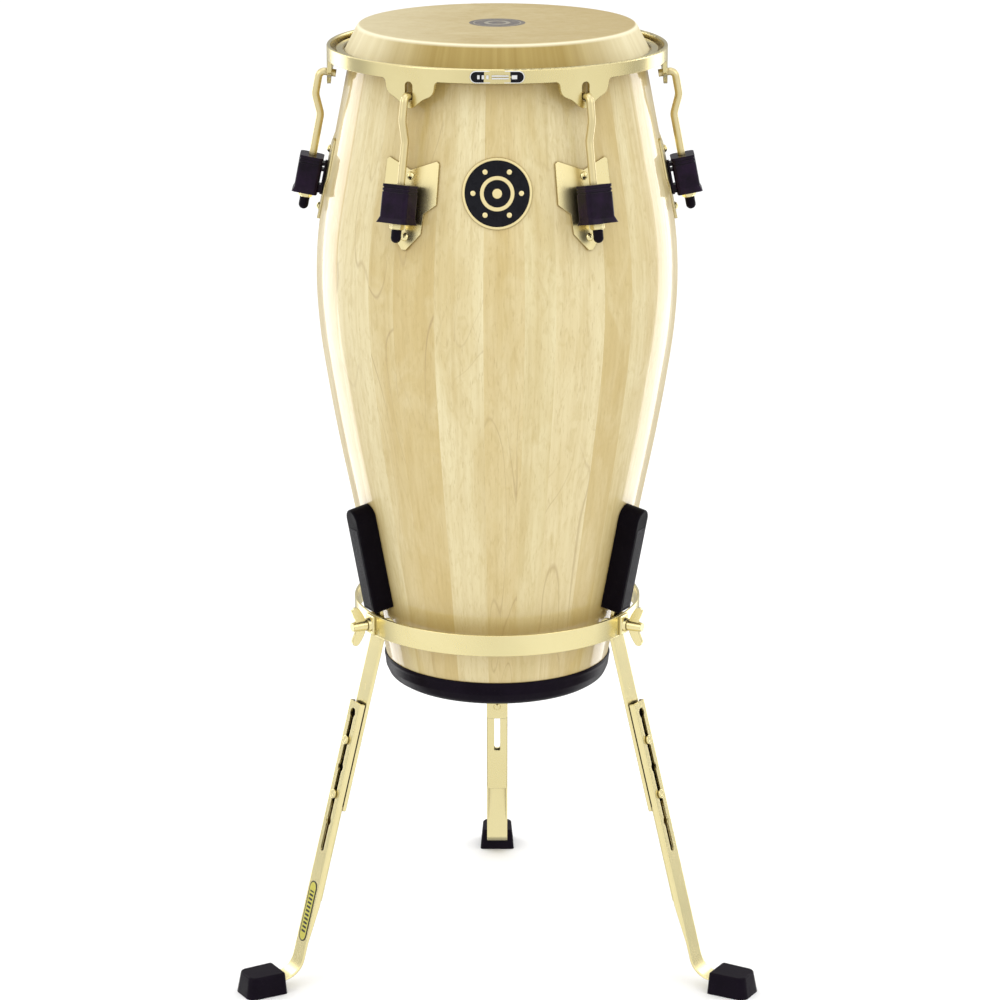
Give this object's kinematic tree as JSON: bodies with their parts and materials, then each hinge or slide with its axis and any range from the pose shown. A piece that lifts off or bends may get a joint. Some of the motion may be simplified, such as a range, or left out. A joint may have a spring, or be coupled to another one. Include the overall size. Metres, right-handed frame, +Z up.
{
  "type": "conga drum",
  "caption": "Single conga drum with a wooden stave shell, hide head and gold tuning hardware, held upright in an adjustable three-legged basket stand.",
  "frame": {"origin": "on the floor, under the middle of the whole object's bounding box; the drum's axis stands 61.3 mm in front of it, at y = -0.0613", "axes": "+Z up along the drum's axis; the badge faces -Y; one leg points to +Y, the others to the front left and front right"},
  "size_m": [0.5634, 0.5134, 1.03],
  "materials": {
    "shell_wood": "clear gloss lacquer over pale rubberwood staves",
    "head_skin": "natural hide, matt",
    "gold_hardware": "polished pale gold plating",
    "hoop_steel": "plain steel",
    "plain_steel": "zinc plated",
    "black_rubber": "satin moulded rubber",
    "black_casting": "satin black powder coat",
    "badge_black": "gloss black enamel with a gold border",
    "badge_silver": "silver plate with a black panel",
    "label_yellow": "printed sticker"
  },
  "bodies": {
    "stand": {"stand_ring": "gold_hardware", "hinge_cheeks": "gold_hardware", "hinge_pins": "plain_steel", "clamp_bosses": "gold_hardware"},
    "drum": {"shell": "shell_wood", "bottom_rubber_ring": "black_rubber", "drum_head": "head_skin", "flesh_hoop": "hoop_steel", "shell_badge": "badge_black", "side_plates": "gold_hardware", "lug_brackets": "black_casting", "lug_screws": "gold_hardware", "lug_screw_washers": "plain_steel", "lug_screw_nuts": "plain_steel"},
    "rim": {"tuning_rim": "gold_hardware", "rim_badge": "badge_silver"},
    "hook_1": {"tuning_hook_1": "gold_hardware"},
    "nut_1": {"lug_nut_1": "gold_hardware", "end_cap_1": "black_rubber"},
    "hook_2": {"tuning_hook_2": "gold_hardware"},
    "nut_2": {"lug_nut_2": "gold_hardware", "end_cap_2": "black_rubber"},
    "hook_3": {"tuning_hook_3": "gold_hardware"},
    "nut_3": {"lug_nut_3": "gold_hardware", "end_cap_3": "black_rubber"},
    "hook_4": {"tuning_hook_4": "gold_hardware"},
    "nut_4": {"lug_nut_4": "gold_hardware", "end_cap_4": "black_rubber"},
    "hook_5": {"tuning_hook_5": "gold_hardware"},
    "nut_5": {"lug_nut_5": "gold_hardware", "end_cap_5": "black_rubber"},
    "hook_6": {"tuning_hook_6": "gold_hardware"},
    "nut_6": {"lug_nut_6": "gold_hardware", "end_cap_6": "black_rubber"},
    "leg_left": {"upper_leg_left": "gold_hardware", "shell_pad_left": "black_rubber", "leg_studs_left": "gold_hardware"},
    "lower_leg_left": {"lower_leg_left": "gold_hardware", "rubber_foot_left": "black_rubber", "leg_label": "label_yellow"},
    "clamp_left": {"wing_screw_left": "gold_hardware"},
    "leg_right": {"upper_leg_right": "gold_hardware", "shell_pad_right": "black_rubber", "leg_studs_right": "gold_hardware"},
    "lower_leg_right": {"lower_leg_right": "gold_hardware", "rubber_foot_right": "black_rubber"},
    "clamp_right": {"wing_screw_right": "gold_hardware"},
    "leg_back": {"upper_leg_back": "gold_hardware", "shell_pad_back": "black_rubber", "leg_studs_back": "gold_hardware"},
    "lower_leg_back": {"lower_leg_back": "gold_hardware", "rubber_foot_back": "black_rubber"},
    "clamp_back": {"wing_screw_back": "gold_hardware"}
  },
  "joints": [
    {"name": "drum_lift", "type": "slide", "parent": "stand", "child": "drum", "axis": [0, 0, 1], "range_m": [0, 0.35]},
    {"name": "rim_tuning", "type": "slide", "parent": "drum", "child": "rim", "axis": [0, 0, 1], "range_m": [0, 0.008]},
    {"name": "hook_slide_1", "type": "slide", "parent": "drum", "child": "hook_1", "axis": [0.098, -0.1697, 0.9806], "range_m": [0, 0.00836]},
    {"name": "nut_turn_1", "type": "hinge", "parent": "drum", "child": "nut_1", "pos_m": [-0.0992, 0.11049, 0.871], "axis": [0.098, -0.1697, 0.9806], "range_deg": [0, 2400]},
    {"name": "hook_slide_2", "type": "slide", "parent": "drum", "child": "hook_2", "axis": [0.1959, 0, 0.9806], "range_m": [0, 0.00836]},
    {"name": "nut_turn_2", "type": "hinge", "parent": "drum", "child": "nut_2", "pos_m": [-0.1984, -0.06133, 0.871], "axis": [0.1959, 0, 0.9806], "range_deg": [0, 2400]},
    {"name": "hook_slide_3", "type": "slide", "parent": "drum", "child": "hook_3", "axis": [0.098, 0.1697, 0.9806], "range_m": [0, 0.00836]},
    {"name": "nut_turn_3", "type": "hinge", "parent": "drum", "child": "nut_3", "pos_m": [-0.0992, -0.23315, 0.871], "axis": [0.098, 0.1697, 0.9806], "range_deg": [0, 2400]},
    {"name": "hook_slide_4", "type": "slide", "parent": "drum", "child": "hook_4", "axis": [-0.098, 0.1697, 0.9806], "range_m": [0, 0.00836]},
    {"name": "nut_turn_4", "type": "hinge", "parent": "drum", "child": "nut_4", "pos_m": [0.0992, -0.23315, 0.871], "axis": [-0.098, 0.1697, 0.9806], "range_deg": [0, 2400]},
    {"name": "hook_slide_5", "type": "slide", "parent": "drum", "child": "hook_5", "axis": [-0.1959, 0, 0.9806], "range_m": [0, 0.00836]},
    {"name": "nut_turn_5", "type": "hinge", "parent": "drum", "child": "nut_5", "pos_m": [0.1984, -0.06133, 0.871], "axis": [-0.1959, 0, 0.9806], "range_deg": [0, 2400]},
    {"name": "hook_slide_6", "type": "slide", "parent": "drum", "child": "hook_6", "axis": [-0.098, -0.1697, 0.9806], "range_m": [0, 0.00836]},
    {"name": "nut_turn_6", "type": "hinge", "parent": "drum", "child": "nut_6", "pos_m": [0.0992, 0.11049, 0.871], "axis": [-0.098, -0.1697, 0.9806], "range_deg": [0, 2400]},
    {"name": "leg_hinge_left", "type": "hinge", "parent": "stand", "child": "leg_left", "pos_m": [-0.12488, -0.13343, 0.3953], "axis": [0.5, -0.866, 0], "range_deg": [0, 12]},
    {"name": "leg_extension_left", "type": "slide", "parent": "leg_left", "child": "lower_leg_left", "axis": [-0.2212, -0.1277, -0.9668], "range_m": [0, 0.027]},
    {"name": "wing_screw_turn_left", "type": "hinge", "parent": "stand", "child": "clamp_left", "pos_m": [-0.14722, -0.14633, 0.3953], "axis": [-0.866, -0.5, 0], "continuous": true},
    {"name": "leg_hinge_right", "type": "hinge", "parent": "stand", "child": "leg_right", "pos_m": [0.12488, -0.13343, 0.3953], "axis": [0.5, 0.866, 0], "range_deg": [0, 12]},
    {"name": "leg_extension_right", "type": "slide", "parent": "leg_right", "child": "lower_leg_right", "axis": [0.2212, -0.1277, -0.9668], "range_m": [0, 0.027]},
    {"name": "wing_screw_turn_right", "type": "hinge", "parent": "stand", "child": "clamp_right", "pos_m": [0.14722, -0.14633, 0.3953], "axis": [0.866, -0.5, 0], "continuous": true},
    {"name": "leg_hinge_back", "type": "hinge", "parent": "stand", "child": "leg_back", "pos_m": [0, 0.08287, 0.3953], "axis": [-1, 0, 0], "range_deg": [0, 12]},
    {"name": "leg_extension_back", "type": "slide", "parent": "leg_back", "child": "lower_leg_back", "axis": [0, 0.2554, -0.9668], "range_m": [0, 0.027]},
    {"name": "wing_screw_turn_back", "type": "hinge", "parent": "stand", "child": "clamp_back", "pos_m": [0, 0.10867, 0.3953], "axis": [0, 1, 0], "continuous": true}
  ],
  "couplings": [
    {"joint": "hook_slide_1", "follows": "rim_tuning", "ratio": 1.0198},
    {"joint": "nut_turn_1", "follows": "rim_tuning", "rad_per_m": 5125.9},
    {"joint": "hook_slide_2", "follows": "rim_tuning", "ratio": 1.0198},
    {"joint": "nut_turn_2", "follows": "rim_tuning", "rad_per_m": 5125.9},
    {"joint": "hook_slide_3", "follows": "rim_tuning", "ratio": 1.0198},
    {"joint": "nut_turn_3", "follows": "rim_tuning", "rad_per_m": 5125.9},
    {"joint": "hook_slide_4", "follows": "rim_tuning", "ratio": 1.0198},
    {"joint": "nut_turn_4", "follows": "rim_tuning", "rad_per_m": 5125.9},
    {"joint": "hook_slide_5", "follows": "rim_tuning", "ratio": 1.0198},
    {"joint": "nut_turn_5", "follows": "rim_tuning", "rad_per_m": 5125.9},
    {"joint": "hook_slide_6", "follows": "rim_tuning", "ratio": 1.0198},
    {"joint": "nut_turn_6", "follows": "rim_tuning", "rad_per_m": 5125.9}
  ]
}
